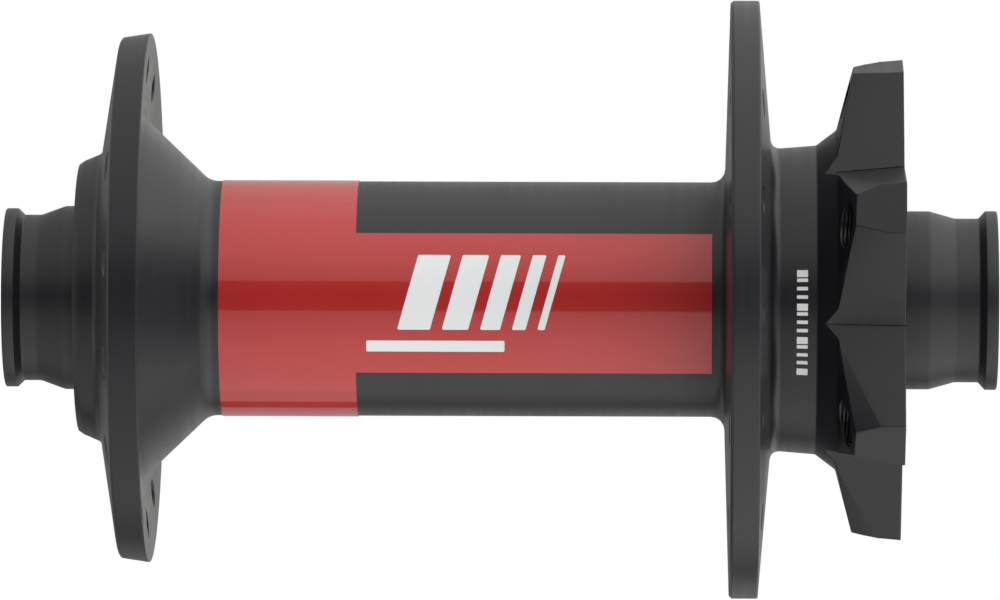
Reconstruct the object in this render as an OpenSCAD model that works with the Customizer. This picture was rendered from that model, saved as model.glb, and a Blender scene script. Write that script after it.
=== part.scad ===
// Front disc-brake bicycle hub for a 15 mm thru axle, with two J-bend spoke
// flanges, a six-arm rotor mount, cartridge bearings and pull-off end caps.
// The hub turns about the Y axis, with the disc side at +Y and +Z up.
// The origin lies on the axis, midway between the two end faces.

/* [Overall] */
// Distance between the two end faces
hub_w = 110; // [110:0.5:112]
// Diameter of the thru axle, which the caps and the axle tube let through
thru_axle_d = 15; // [14:0.1:15]
// Diameter of the lip at the end faces
lip_d = 19.84; // [19.4:0.02:20.2]

/* [Shell tube] */
// Outer diameter of the centre tube
tube_d = 26.06; // [25.6:0.02:26.4]
// Bore through the middle of the shell
shell_bore_d = 23; // [22:0.1:23.4]
// Outer diameter of the neck beside the rotor mount
neck_d = 33.5; // [33:0.1:34]

/* [Plain side] */
// Rim diameter of the plain-side flange
plain_flange_d = 58.8; // [56:0.2:60]
// Spoke circle of the plain-side flange
plain_spoke_pcd = 50.2; // [48:0.2:51]
// Angle of the first plain-side spoke hole above the +X axis
plain_spoke_angle = 34.9; // [0:0.1:60]

/* [Disc side] */
// Rim diameter of the disc-side flange
disc_flange_d = 66.4; // [65:0.2:68]
// Spoke circle of the disc-side flange
disc_spoke_pcd = 58; // [57:0.2:59]
// Angle of the first disc-side spoke hole above the +X axis
disc_spoke_angle = 47.8; // [0:0.1:60]

/* [Spoke holes] */
// Spoke holes in each flange
spoke_holes = 14; // [12:1:18]
// Spoke hole diameter
spoke_hole_d = 2.6; // [2.4:0.1:2.8]

/* [Rotor mount] */
// Distance from the end face to the rotor face
rotor_offset = 10.5; // [10.5:0.1:11]
// Bolt circle of the rotor
rotor_pcd = 44; // [43.5:0.1:44.5]
// Core diameter of the M5 threads
rotor_hole_d = 4.2; // [4:0.1:5]
// Angle of the first arm above the +X axis
arm_angle = 22; // [0:0.5:60]
// Diameter across the arm tips at the rotor face
star_d = 53.4; // [52:0.2:54]
// Diameter that the valleys between the arms reach at the rotor face
valley_d = 37.5; // [36.5:0.1:38]

/* [Bearings] */
// Ball diameter
ball_d = 2.78; // [2.6:0.02:2.8]
// Balls in each bearing
balls = 14; // [12:1:16]

/* [Decal] */
// Thickness of the decal film
decal_t = 0.1; // [0.06:0.01:0.14]
// Thickness of the printed marks
print_t = 0.05; // [0.03:0.01:0.08]
// Upper edge of the decal's long tongue, as an angle above the +X axis
tongue_top = 33.3; // [26:0.1:60]
// Lower edge of the decal's long tongue, as an angle below the +X axis
tongue_bottom = 38.5; // [30:0.1:60]

/* [Hidden] */
$fn = 96;

anodised = "#232426";
film_red = "#b23a34";
ink_white = "#f2f2f0";
alloy = "#b9bcc0";
steel = "#8d9094";
bright_steel = "#d4d6d9";
nylon = "#d8cfb4";
rubber = "#141416";

arms = 6;

// Cartridge bearing 17 x 26 x 5
bearing_id = 17;
bearing_od = 26;
bearing_w = 5;

// Places along the axis, measured from the middle of the hub
half_w = hub_w / 2;
rotor_face = half_w - rotor_offset;
disc_seat_end = rotor_face - 1;
disc_bearing_y = disc_seat_end - bearing_w / 2;
plain_face = -46.85;
plain_seat_end = -46;
plain_bearing_y = plain_seat_end + bearing_w / 2;

tube_r = tube_d / 2;
neck_r = neck_d / 2;
seat_r = bearing_od / 2;
axle_r = bearing_id / 2;
thru_bore_r = thru_axle_d / 2;
corner_steps = 4;
over = 1;

// --- helpers -------------------------------------------------------------

// Turns a shape modelled along Z so that it lies along the hub's axis
module along_axis() {
    rotate([-90, 0, 0]) children();
}

function unit(v) = v / norm(v);

// Arc of radius r that rounds the corner q between its neighbours p and s
function corner_arc(p, q, s, r) =
    let (u = unit(p - q), v = unit(s - q), half = acos(u * v) / 2)
    let (centre = q + unit(u + v) * r / sin(half), t = r / tan(half))
    let (a = q + u * t - centre, b = q + v * t - centre, sweep = 180 - 2 * half)
    [for (i = [0:corner_steps])
        let (k = i / corner_steps * sweep)
        centre + (a * sin(sweep - k) + b * sin(k)) / sin(sweep)];

// Outline of [radius, height, corner radius] points with its corners rounded
function rounded(points) =
    let (n = len(points), flat = [for (p = points) [p[0], p[1]]])
    [for (i = [0:n - 1])
        each points[i][2] == 0 ? [flat[i]]
            : corner_arc(flat[(i + n - 1) % n], flat[i], flat[(i + 1) % n], points[i][2])];

// Same pattern on a circle; angles count upwards from the +X axis in the finished part
module around(count, first_angle) {
    for (i = [0:count - 1])
        rotate([0, 0, -first_angle - i * 360 / count]) children();
}

// Everything on the far side of a plane through a point, out to a size
module beyond_plane(point, normal, size) {
    translate(point)
        rotate([0, acos(normal[2] / norm(normal)), atan2(normal[1], normal[0])])
            translate([-size, -size, 0])
                cube([2 * size, 2 * size, size]);
}

module ring(inner_r, outer_r, low, high) {
    rotate_extrude()
        translate([inner_r, low]) square([outer_r - inner_r, high - low]);
}

// --- shell ---------------------------------------------------------------

plain_rim_r = plain_flange_d / 2;
disc_rim_r = disc_flange_d / 2;
star_r = star_d / 2;
shell_bore_r = shell_bore_d / 2;
shoulder_r = 12;

// Outside of the shell, from the plain side's boss to the rotor face
shell_outside = [
    [14.85, plain_face, 0.15],
    [15.25, plain_face + 0.6, 0],
    [15.95, -44.6, 0],
    [16.3, -44.2, 0.3],
    [plain_rim_r - 0.75, -42.2, 0],
    [plain_rim_r - 0.45, -42.0, 0],
    [plain_rim_r, -39.0, 0],
    [plain_rim_r - 0.1, -38.9, 0],
    [20.2, -39.85, 0.3],
    [tube_r, -32.35, 2.2],
    [tube_r, 24.8, 1.5],
    [disc_rim_r - 0.3, 25.38, 0],
    [disc_rim_r, 25.7, 0],
    [disc_rim_r, 28.45, 0],
    [disc_rim_r - 0.12, 28.58, 0],
    [neck_r, 29.95, 1],
    [neck_r + 0.4, 34.9, 0.3],
    [neck_r + 2.1, 37.15, 0.6],
    [star_r - 0.8, 39.0, 0],
    [star_r - 0.3, 41.2, 0],
    [star_r, rotor_face - 0.15, 0],
    [star_r - 0.15, rotor_face, 0]
];

// Inside of the shell, from the rotor face back to the boss
shell_inside = [
    [seat_r + 0.4, rotor_face, 0],
    [seat_r, rotor_face - 0.4, 0],
    [seat_r, disc_seat_end - bearing_w, 0],
    [shoulder_r, disc_seat_end - bearing_w, 0],
    [shoulder_r, 35.5, 0],
    [shell_bore_r, 34.5, 0],
    [shell_bore_r, -38.0, 0],
    [shoulder_r, -39.0, 0],
    [shoulder_r, plain_seat_end + bearing_w, 0],
    [seat_r, plain_seat_end + bearing_w, 0],
    [seat_r, plain_face + 0.4, 0],
    [seat_r + 0.4, plain_face, 0]
];

// Valley between two arms: an open V whose edge leans in towards the neck.
// The arm above it has the steeper wall, so every arm looks slightly swept.
valley_low_angle = 60.3;
valley_high_angle = 65.8;
valley_lean = 6.3;
valley_skew = -0.5;
valley_reach = 12;
valley_drop = 13.5;

module valley_cut() {
    translate([valley_d / 2, 0, rotor_face])
        rotate([0, valley_lean, 0])
            translate([0, 0, -valley_drop])
                linear_extrude(valley_drop + over * 2)
                    polygon([[0, 0], [valley_reach, -valley_reach * tan(valley_high_angle)],
                             [valley_reach, valley_reach * tan(valley_low_angle)]]);
}

// Flat across each arm's tip
tip_point = [25.96, 0, 42];
tip_normal = [1, 0.112, -0.079];

module tip_cut() {
    beyond_plane(tip_point, tip_normal, 8);
}

// Sloping facets that thin the back corners of an arm towards its tip, each
// given by its points at the flank, at the tip's back edge and near the neck
upper_facet = [[26.42, 3.02, 42.0], [26.01, 1.786, 39.0], [18.25, 7.315, 37.5]];
lower_facet = [[25.57, 2.43, 41.85], [25.45, 1.69, 39.0], [19.13, 6.57, 37.6]];
facet_inner = 17.4;
facet_outer = 28;

module facet_cut(points) {
    normal = cross(points[0] - points[2], points[1] - points[2]);
    intersection() {
        beyond_plane(points[2], normal, 20);
        translate([0, 0, 33])
            linear_extrude(rotor_face + over - 33)
                polygon([[facet_inner, 0], [facet_outer, 0],
                         [facet_outer, facet_outer * tan(180 / arms)],
                         [facet_inner, facet_inner * tan(180 / arms)]]);
    }
}

// Spoke hole with a small countersink at both faces of its flange
module spoke_hole(low, high) {
    r = spoke_hole_d / 2;
    sink = 0.4;
    translate([0, 0, low - over]) cylinder(h = high - low + 2 * over, r = r);
    translate([0, 0, low - sink]) cylinder(h = 2 * sink, r1 = r + 2 * sink, r2 = r);
    translate([0, 0, high - sink]) cylinder(h = 2 * sink, r1 = r, r2 = r + 2 * sink);
}

// Threaded hole for a rotor bolt, drilled right through its arm
module rotor_hole() {
    r = rotor_hole_d / 2;
    translate([0, 0, 36]) cylinder(h = rotor_face + over - 36, r = r);
    translate([0, 0, rotor_face - 0.4]) cylinder(h = 0.8, r1 = r, r2 = r + 0.8);
}

module hub_shell() {
    color(anodised) along_axis() difference() {
        rotate_extrude() polygon(concat(rounded(shell_outside), rounded(shell_inside)));
        around(spoke_holes, plain_spoke_angle)
            translate([plain_spoke_pcd / 2, 0, 0]) spoke_hole(-42.75, -39.33);
        around(spoke_holes, disc_spoke_angle)
            translate([disc_spoke_pcd / 2, 0, 0]) spoke_hole(25.26, 28.9);
        around(arms, arm_angle)
            translate([rotor_pcd / 2, 0, 0]) rotor_hole();
        around(arms, arm_angle + 180 / arms + valley_skew) valley_cut();
        around(arms, arm_angle) {
            tip_cut();
            facet_cut(lower_facet);
            mirror([0, 1, 0]) facet_cut(upper_facet);
        }
    }
}

// --- decal and printed marks ----------------------------------------------

band_low = -30.9;
band_high = -15.8;
tongue_high = 23.4;
film_r = tube_r + decal_t;

// A band all the way round, then a long tongue on one side only
module shell_decal() {
    tongue = tongue_top + tongue_bottom;
    color(film_red) along_axis() difference() {
        ring(tube_r, film_r, band_low, tongue_high);
        rotate([0, 0, tongue_bottom])
            rotate_extrude(angle = 360 - tongue)
                translate([tube_r - over, band_high])
                    square([3 * over, tongue_high + over - band_high]);
    }
}

// Five slanted bars that grow thinner, over one long thin bar
bar_bottom = -3.4;
bar_top = 4.8;
bar_slant = 2.3;
bar_first = -11.2;
bar_widths = [3.6, 2.9, 2.2, 1.5, 0.8];
bar_gap = 1.3;
line_start = -14.6;
line_end = 0.6;
line_bottom = -5.8;
line_top = -4.6;

function bar_start(i) = i == 0 ? bar_first : bar_start(i - 1) + bar_widths[i - 1] + bar_gap;

// Upright outline in the plane of the axis, pressed through the film's front
module mark(points) {
    rotate([90, 0, 90])
        linear_extrude(tube_r + over)
            polygon([for (p = points) [-p[1], p[0]]]);
}

module decal_print() {
    color(ink_white) along_axis() intersection() {
        ring(film_r, film_r + print_t, band_low, tongue_high);
        union() {
            for (i = [0:len(bar_widths) - 1])
                let (start = bar_start(i), end = bar_start(i) + bar_widths[i])
                    mark([[start, bar_bottom], [end, bar_bottom],
                          [end + bar_slant, bar_top], [start + bar_slant, bar_top]]);
            mark([[line_start, line_bottom], [line_end, line_bottom],
                  [line_end, line_top], [line_start, line_top]]);
        }
    }
}

// Row of short index ticks across the neck
tick_low = 32.65;
tick_high = 33.85;
tick_pitch = 3.1;
tick_angle = 1.3;
ticks = 13;
ticks_top = 11;

function neck_at(y) = neck_r + (y - 29.95) * 0.4 / (34.9 - 29.95);

module neck_print() {
    low_r = neck_at(tick_low);
    high_r = neck_at(tick_high);
    color(ink_white) along_axis()
        for (i = [0:ticks - 1])
            rotate([0, 0, i * tick_pitch - ticks_top])
                rotate_extrude(angle = i % 4 == 0 ? 2 * tick_angle : tick_angle)
                    polygon([[low_r, tick_low], [low_r + print_t, tick_low],
                             [high_r + print_t, tick_high], [high_r, tick_high]]);
}

// --- axle and end caps ------------------------------------------------------

stub_l = 4.8;
axle_body_r = 8.9;
collar_r = 9.6;
collar_l = 3;

module axle_tube() {
    plain_stub = plain_seat_end - stub_l;
    disc_stub = disc_seat_end + stub_l;
    plain_stop = plain_seat_end + bearing_w;
    disc_stop = disc_seat_end - bearing_w;
    color(alloy) along_axis() rotate_extrude() polygon([
        [thru_bore_r, plain_stub], [axle_r - 0.3, plain_stub], [axle_r, plain_stub + 0.3],
        [axle_r, plain_stop], [collar_r, plain_stop], [collar_r, plain_stop + collar_l],
        [axle_body_r, plain_stop + collar_l + 1], [axle_body_r, disc_stop - collar_l - 1],
        [collar_r, disc_stop - collar_l], [collar_r, disc_stop], [axle_r, disc_stop],
        [axle_r, disc_stub - 0.3], [axle_r - 0.3, disc_stub], [thru_bore_r, disc_stub]
    ]);
}

lip_r = lip_d / 2;
lip_w = 1.3;
cap_clearance = 0.03;
skirt_r = 12.3;
o_ring_d = 0.8;
o_ring_place = 2.2;

// Pull-off cap, modelled pointing up; race is the height of the bearing's face
module end_cap(race, base_r, taper_low, taper_high, barrel_r) {
    socket_r = axle_r + cap_clearance;
    groove_r = socket_r + o_ring_d;
    groove = race + o_ring_place;
    socket_top = race + stub_l + 0.2;
    rotate_extrude() difference() {
        polygon(rounded([
            [thru_bore_r, race + 0.02, 0], [axle_r + 1.05, race + 0.02, 0],
            [axle_r + 1.05, race + 0.3, 0], [skirt_r, race + 0.3, 0],
            [skirt_r, race + 0.75, 0.2], [base_r, race + 0.9, 0.3],
            [base_r, taper_low, 1.5], [barrel_r, taper_high, 1.5],
            [barrel_r, half_w - lip_w - 0.75, 0.3], [lip_r, half_w - lip_w, 0],
            [lip_r, half_w - 0.12, 0], [lip_r - 0.12, half_w, 0],
            [thru_bore_r + 0.4, half_w, 0], [thru_bore_r, half_w - 0.4, 0]
        ]));
        translate([0, race]) square([socket_r, socket_top - race]);
        translate([0, groove - 0.5]) square([groove_r, 1]);
    }
}

module o_ring(race) {
    translate([0, 0, race + o_ring_place])
        rotate_extrude()
            translate([axle_r + 0.01 + o_ring_d / 2, 0]) circle(d = o_ring_d);
}

module disc_end_cap() {
    color(anodised) along_axis()
        end_cap(disc_seat_end, 9.89, 47.5, 50.3, 9.09);
}

module plain_end_cap() {
    color(anodised) along_axis() mirror([0, 0, 1])
        end_cap(-plain_seat_end, 10.19, 48.4, 51.1, 9.2);
}

module disc_cap_o_ring() {
    color(rubber) along_axis() o_ring(disc_seat_end);
}

module plain_cap_o_ring() {
    color(rubber) along_axis() mirror([0, 0, 1]) o_ring(-plain_seat_end);
}

// --- cartridge bearings -------------------------------------------------------

half_b = bearing_w / 2;
pitch_r = (bearing_id + bearing_od) / 4;
groove_r = ball_d / 2 + 0.03;
inner_land_r = pitch_r - 1;
outer_land_r = pitch_r + 1;
seal_step = 2;
seal_outer_r = outer_land_r + 0.25;
seal_lip_r = inner_land_r - 0.1;
cage_low = -1.85;
cage_high = 0.9;

module outer_race() {
    rotate_extrude() difference() {
        polygon([
            [seat_r - 0.3, -half_b], [seat_r, -half_b + 0.3],
            [seat_r, half_b - 0.3], [seat_r - 0.3, half_b],
            [seal_outer_r, half_b], [seal_outer_r, seal_step], [outer_land_r, seal_step],
            [outer_land_r, -seal_step], [seal_outer_r, -seal_step], [seal_outer_r, -half_b]
        ]);
        translate([pitch_r, 0]) circle(r = groove_r);
    }
}

module inner_race() {
    land_step = seal_step - 0.1;
    rotate_extrude() difference() {
        polygon([
            [axle_r, -half_b + 0.3], [axle_r + 0.3, -half_b], [inner_land_r - 0.2, -half_b],
            [inner_land_r - 0.2, -land_step], [inner_land_r, -land_step],
            [inner_land_r, land_step], [inner_land_r - 0.2, land_step],
            [inner_land_r - 0.2, half_b], [axle_r + 0.3, half_b], [axle_r, half_b - 0.3]
        ]);
        translate([pitch_r, 0]) circle(r = groove_r);
    }
}

module ball_set() {
    around(balls, 0) translate([pitch_r, 0, 0]) sphere(d = ball_d);
}

// Crown cage: a ring whose pockets hold the balls and open on one side
module cage() {
    difference() {
        ring(pitch_r - 0.55, pitch_r + 0.55, cage_low, cage_high);
        around(balls, 0)
            translate([pitch_r, 0, 0]) rotate([0, 90, 0])
                cylinder(h = 4, r = ball_d / 2 + 0.06, center = true);
    }
}

// Rubber seal; side is 1 for the face at the top and -1 for the bottom
module seal(side) {
    mirror([0, 0, side < 0 ? 1 : 0])
        ring(seal_lip_r, seal_outer_r, seal_step, half_b - 0.1);
}

module place_bearing(y) {
    along_axis() translate([0, 0, y]) children();
}

module plain_bearing_outer_race() {
    color(steel) place_bearing(plain_bearing_y) outer_race();
}

module plain_bearing_inner_race() {
    color(steel) place_bearing(plain_bearing_y) inner_race();
}

module plain_bearing_balls() {
    color(bright_steel) place_bearing(plain_bearing_y) ball_set();
}

module plain_bearing_cage() {
    color(nylon) place_bearing(plain_bearing_y) cage();
}

module plain_bearing_outer_seal() {
    color(rubber) place_bearing(plain_bearing_y) seal(-1);
}

module plain_bearing_inner_seal() {
    color(rubber) place_bearing(plain_bearing_y) seal(1);
}

module disc_bearing_outer_race() {
    color(steel) place_bearing(disc_bearing_y) outer_race();
}

module disc_bearing_inner_race() {
    color(steel) place_bearing(disc_bearing_y) inner_race();
}

module disc_bearing_balls() {
    color(bright_steel) place_bearing(disc_bearing_y) ball_set();
}

module disc_bearing_cage() {
    color(nylon) place_bearing(disc_bearing_y) cage();
}

module disc_bearing_outer_seal() {
    color(rubber) place_bearing(disc_bearing_y) seal(1);
}

module disc_bearing_inner_seal() {
    color(rubber) place_bearing(disc_bearing_y) seal(-1);
}

hub_shell();
shell_decal();
decal_print();
neck_print();
axle_tube();
plain_end_cap();
plain_cap_o_ring();
disc_end_cap();
disc_cap_o_ring();
plain_bearing_outer_race();
plain_bearing_inner_race();
plain_bearing_balls();
plain_bearing_cage();
plain_bearing_outer_seal();
plain_bearing_inner_seal();
disc_bearing_outer_race();
disc_bearing_inner_race();
disc_bearing_balls();
disc_bearing_cage();
disc_bearing_outer_seal();
disc_bearing_inner_seal();
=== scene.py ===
import math

import bmesh
import bpy
from mathutils import Matrix, Vector


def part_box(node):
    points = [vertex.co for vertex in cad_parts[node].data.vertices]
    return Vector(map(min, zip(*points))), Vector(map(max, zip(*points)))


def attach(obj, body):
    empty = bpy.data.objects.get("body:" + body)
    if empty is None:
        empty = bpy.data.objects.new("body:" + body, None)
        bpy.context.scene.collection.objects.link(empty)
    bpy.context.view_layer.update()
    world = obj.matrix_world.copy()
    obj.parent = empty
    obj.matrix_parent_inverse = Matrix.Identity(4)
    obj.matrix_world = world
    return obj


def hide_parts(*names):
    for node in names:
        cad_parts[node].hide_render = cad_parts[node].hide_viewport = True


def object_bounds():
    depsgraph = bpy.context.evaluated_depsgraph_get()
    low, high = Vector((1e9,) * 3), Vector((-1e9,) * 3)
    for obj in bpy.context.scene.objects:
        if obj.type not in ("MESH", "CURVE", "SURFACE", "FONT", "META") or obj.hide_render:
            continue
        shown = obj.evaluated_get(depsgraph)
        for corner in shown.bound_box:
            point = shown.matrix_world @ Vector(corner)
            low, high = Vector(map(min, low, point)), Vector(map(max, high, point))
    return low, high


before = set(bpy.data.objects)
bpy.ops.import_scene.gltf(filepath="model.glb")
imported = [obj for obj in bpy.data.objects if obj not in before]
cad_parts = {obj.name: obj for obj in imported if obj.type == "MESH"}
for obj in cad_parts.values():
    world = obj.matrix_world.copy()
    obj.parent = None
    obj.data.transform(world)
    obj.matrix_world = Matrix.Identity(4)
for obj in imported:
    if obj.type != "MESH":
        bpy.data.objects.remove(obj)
cadBounds = [list(corner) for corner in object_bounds()]
print("frame loaded:", len(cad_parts), "nodes")

mm = 0.001
scene = bpy.context.scene


def inMm(node):
    low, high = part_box(node)
    return low / mm, high / mm


# places along the axis and radii that several pieces share, in millimetres
plainFace = inMm("hub_shell")[0].y
rotorFace = inMm("hub_shell")[1].y
discRim = inMm("hub_shell")[1].x
filmLow, filmHigh = inMm("shell_decal")
filmRadius = filmHigh.x
endFace = cadBounds[1][1] / mm
plainRace = inMm("plain_bearing_inner_race")[0].y
discRace = inMm("disc_bearing_inner_race")[1].y
bearingWidth = inMm("plain_bearing_inner_race")[1].y - plainRace
seatRadius = inMm("plain_bearing_outer_race")[1].x


# camera
camera = {"distance": 1065.0, "side": 19.3, "aimSide": -0.13, "height": -0.12,
          "lens": 345.0, "roll": 0.19}

cameraData = bpy.data.cameras.new("studioCamera")
cameraData.lens = camera["lens"]
cameraData.sensor_width = 36.0
cameraData.clip_start = 0.01
cameraData.clip_end = 50.0
cameraObject = bpy.data.objects.new("studioCamera", cameraData)
cameraPlace = Vector((camera["distance"], camera["side"], camera["height"])) * mm
aimPlace = Vector((0, camera["aimSide"], camera["height"])) * mm
aimTurn = (aimPlace - cameraPlace).to_track_quat("-Z", "Y").to_matrix().to_4x4()
rollTurn = Matrix.Rotation(math.radians(camera["roll"]), 4, "Z")
cameraObject.matrix_world = Matrix.Translation(cameraPlace) @ aimTurn @ rollTurn
scene.collection.objects.link(cameraObject)
scene.camera = cameraObject
print("camera placed")


# shader nodes
def addNode(tree, kind, **settings):
    node = tree.nodes.new(kind)
    for name, value in settings.items():
        setattr(node, name, value)
    return node


def feed(tree, source, socket):
    # a socket is linked, anything else is set on the socket itself
    if isinstance(source, bpy.types.NodeSocket):
        tree.links.new(source, socket)
    else:
        socket.default_value = source


def maths(tree, operation, first, second=0.0):
    node = addNode(tree, "ShaderNodeMath", operation=operation)
    feed(tree, first, node.inputs[0])
    feed(tree, second, node.inputs[1])
    return node.outputs[0]


def times(tree, first, *others):
    for other in others:
        first = maths(tree, "MULTIPLY", first, other)
    return first


def plus(tree, first, *others):
    for other in others:
        first = maths(tree, "ADD", first, other)
    return first


def blendValue(tree, value, low, high, fromValue=0.0, toValue=1.0):
    # runs smoothly from one value to the other while the input goes from low to high
    node = addNode(tree, "ShaderNodeMapRange", interpolation_type="SMOOTHSTEP")
    feed(tree, value, node.inputs["Value"])
    node.inputs["From Min"].default_value = low
    node.inputs["From Max"].default_value = high
    node.inputs["To Min"].default_value = fromValue
    node.inputs["To Max"].default_value = toValue
    return node.outputs[0]


def mixColour(tree, factor, first, second):
    node = addNode(tree, "ShaderNodeMix", data_type="RGBA")
    feed(tree, factor, node.inputs["Factor"])
    feed(tree, first, node.inputs["A"])
    feed(tree, second, node.inputs["B"])
    return node.outputs["Result"]


# studio: two long softboxes in front with a dark gap between them, a white backdrop behind.
# Edges are in degrees above the horizon. A fade is the part of the axis (y), of the way to the
# front (x) or of the way up (z) over which one glow turns into the next.
studio = {"upper": 1.55, "upperByGap": 0.8, "upperEdge": 16.8,
          "lower": 1.5, "lowerByGap": 0.75, "lowerEdge": -12.0,
          "lowerDiscSide": 0.75, "lowerFade": (0.2, 0.7), "edgeSoftness": 1.2, "fullGlow": 60.0,
          "gap": 0.04, "gapDiscSide": 0.22, "gapFade": (0.1, 0.6),
          "gapEnds": 0.4, "gapDiscEndFade": (0.7, 0.95), "gapPlainEndFade": (-0.9, -0.99),
          "behindFade": (-0.15, -0.3), "backNear": 1.3, "backFar": 0.74, "backFade": (-0.3, -0.95),
          "backBelow": 0.78, "belowFade": (-0.1, 0.1),
          "plainSide": 0.52, "discSide": 1.2, "sideFade": (-0.25, 0.25),
          "discEnd": 0.82, "discEndFade": (0.3, 0.75),
          "plainEnd": 1.8, "plainEndFade": (-0.85, -0.97),
          "stripAngle": -128.2, "stripWidth": 13.5, "stripGlow": 0.0,
          "lightColour": (1, 1, 0.975, 1), "backdropColour": (1, 1, 1, 1),
          "floorColour": (0.86, 0.86, 0.86, 1), "floorDrop": 320.0, "floorSize": 6000.0}


def glowByDirection(tree, x, y, z):
    height = times(tree, maths(tree, "ARCSINE", z), 180 / math.pi)
    soft = studio["edgeSoftness"]
    upper, lower, full = studio["upperEdge"], studio["lowerEdge"], studio["fullGlow"]
    upperBox = times(tree, blendValue(tree, height, upper - soft, upper + soft),
                     blendValue(tree, height, upper, full, studio["upperByGap"] * studio["upper"],
                                studio["upper"]))
    lowerBox = times(tree, blendValue(tree, height, lower + soft, lower - soft),
                     blendValue(tree, height, lower, -full, studio["lowerByGap"] * studio["lower"],
                                studio["lower"]),
                     blendValue(tree, y, *studio["lowerFade"], 1.0, studio["lowerDiscSide"]))
    gap = plus(tree, blendValue(tree, y, *studio["gapFade"], studio["gap"], studio["gapDiscSide"]),
               blendValue(tree, y, *studio["gapDiscEndFade"], 0.0, studio["gapEnds"]),
               blendValue(tree, y, *studio["gapPlainEndFade"], 0.0, studio["gapEnds"]))
    behind = blendValue(tree, x, *studio["behindFade"])
    front = times(tree, plus(tree, upperBox, lowerBox, gap), maths(tree, "SUBTRACT", 1.0, behind))
    backdrop = times(tree, blendValue(tree, x, *studio["backFade"], studio["backNear"],
                                      studio["backFar"]),
                     blendValue(tree, z, *studio["belowFade"], studio["backBelow"], 1.0))
    # the dark edge where the lower softbox ends and the backdrop begins
    around = times(tree, maths(tree, "ARCTAN2", z, x), 180 / math.pi)
    away = maths(tree, "ABSOLUTE", maths(tree, "SUBTRACT", around, studio["stripAngle"]))
    half = studio["stripWidth"] / 2
    return times(tree, plus(tree, front, times(tree, behind, backdrop)),
                 blendValue(tree, y, *studio["sideFade"], studio["plainSide"], studio["discSide"]),
                 blendValue(tree, y, *studio["discEndFade"], 1.0, studio["discEnd"]),
                 blendValue(tree, y, *studio["plainEndFade"], 1.0, studio["plainEnd"]),
                 blendValue(tree, away, half - 1, half + 1, studio["stripGlow"], 1.0))


def buildWorld():
    world = bpy.data.worlds.new("studio")
    scene.world = world
    world.use_nodes = True
    tree = world.node_tree
    tree.nodes.clear()
    split = addNode(tree, "ShaderNodeSeparateXYZ")
    feed(tree, addNode(tree, "ShaderNodeTexCoord").outputs["Generated"], split.inputs[0])
    light = addNode(tree, "ShaderNodeBackground")
    light.inputs["Color"].default_value = studio["lightColour"]
    feed(tree, glowByDirection(tree, *split.outputs), light.inputs["Strength"])
    backdrop = addNode(tree, "ShaderNodeBackground")
    backdrop.inputs["Color"].default_value = studio["backdropColour"]
    mix = addNode(tree, "ShaderNodeMixShader")
    feed(tree, addNode(tree, "ShaderNodeLightPath").outputs["Is Camera Ray"], mix.inputs[0])
    feed(tree, light.outputs[0], mix.inputs[1])
    feed(tree, backdrop.outputs[0], mix.inputs[2])
    feed(tree, mix.outputs[0], addNode(tree, "ShaderNodeOutputWorld").inputs["Surface"])


def buildFloor():
    bm = bmesh.new()
    bmesh.ops.create_grid(bm, x_segments=1, y_segments=1, size=studio["floorSize"] / 2 * mm)
    bmesh.ops.translate(bm, verts=bm.verts, vec=(0, 0, -studio["floorDrop"] * mm))
    mesh = bpy.data.meshes.new("floor")
    bm.to_mesh(mesh)
    bm.free()
    floor = bpy.data.objects.new("floor", mesh)
    scene.collection.objects.link(floor)
    paint = bpy.data.materials.new("paleFloor")
    paint.use_nodes = True
    shader = paint.node_tree.nodes["Principled BSDF"]
    shader.inputs["Base Color"].default_value = studio["floorColour"]
    shader.inputs["Roughness"].default_value = 0.9
    mesh.materials.append(paint)
    floor.visible_glossy = False  # the softboxes, not the floor, light the hub from below
    floor.visible_diffuse = False
    floor.visible_shadow = False


buildWorld()
buildFloor()
scene.view_settings.view_transform = "Standard"
print("studio lit")


# node groups that the finishes share
def newGroup(name, inputs, outputs):
    group = bpy.data.node_groups.new(name, "ShaderNodeTree")
    for label, value in inputs.items():
        socket = group.interface.new_socket(label, in_out="INPUT", socket_type="NodeSocketFloat")
        socket.default_value = value
    for label in outputs:
        group.interface.new_socket(label, in_out="OUTPUT", socket_type="NodeSocketFloat")
    return group, addNode(group, "NodeGroupInput"), addNode(group, "NodeGroupOutput")


def noise(tree, coordinates, scale, detail=2.0, roughness=0.5, dimensions="3D"):
    node = addNode(tree, "ShaderNodeTexNoise", noise_dimensions=dimensions)
    feed(tree, coordinates, node.inputs["Vector"])
    feed(tree, scale, node.inputs["Scale"])
    node.inputs["Detail"].default_value = detail
    node.inputs["Roughness"].default_value = roughness
    return node.outputs["Fac"]


def spread(tree, mask, low, high):
    # noise lies mostly between 0.3 and 0.7, which is spread between two values here
    return blendValue(tree, mask, 0.3, 0.7, low, high)


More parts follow.
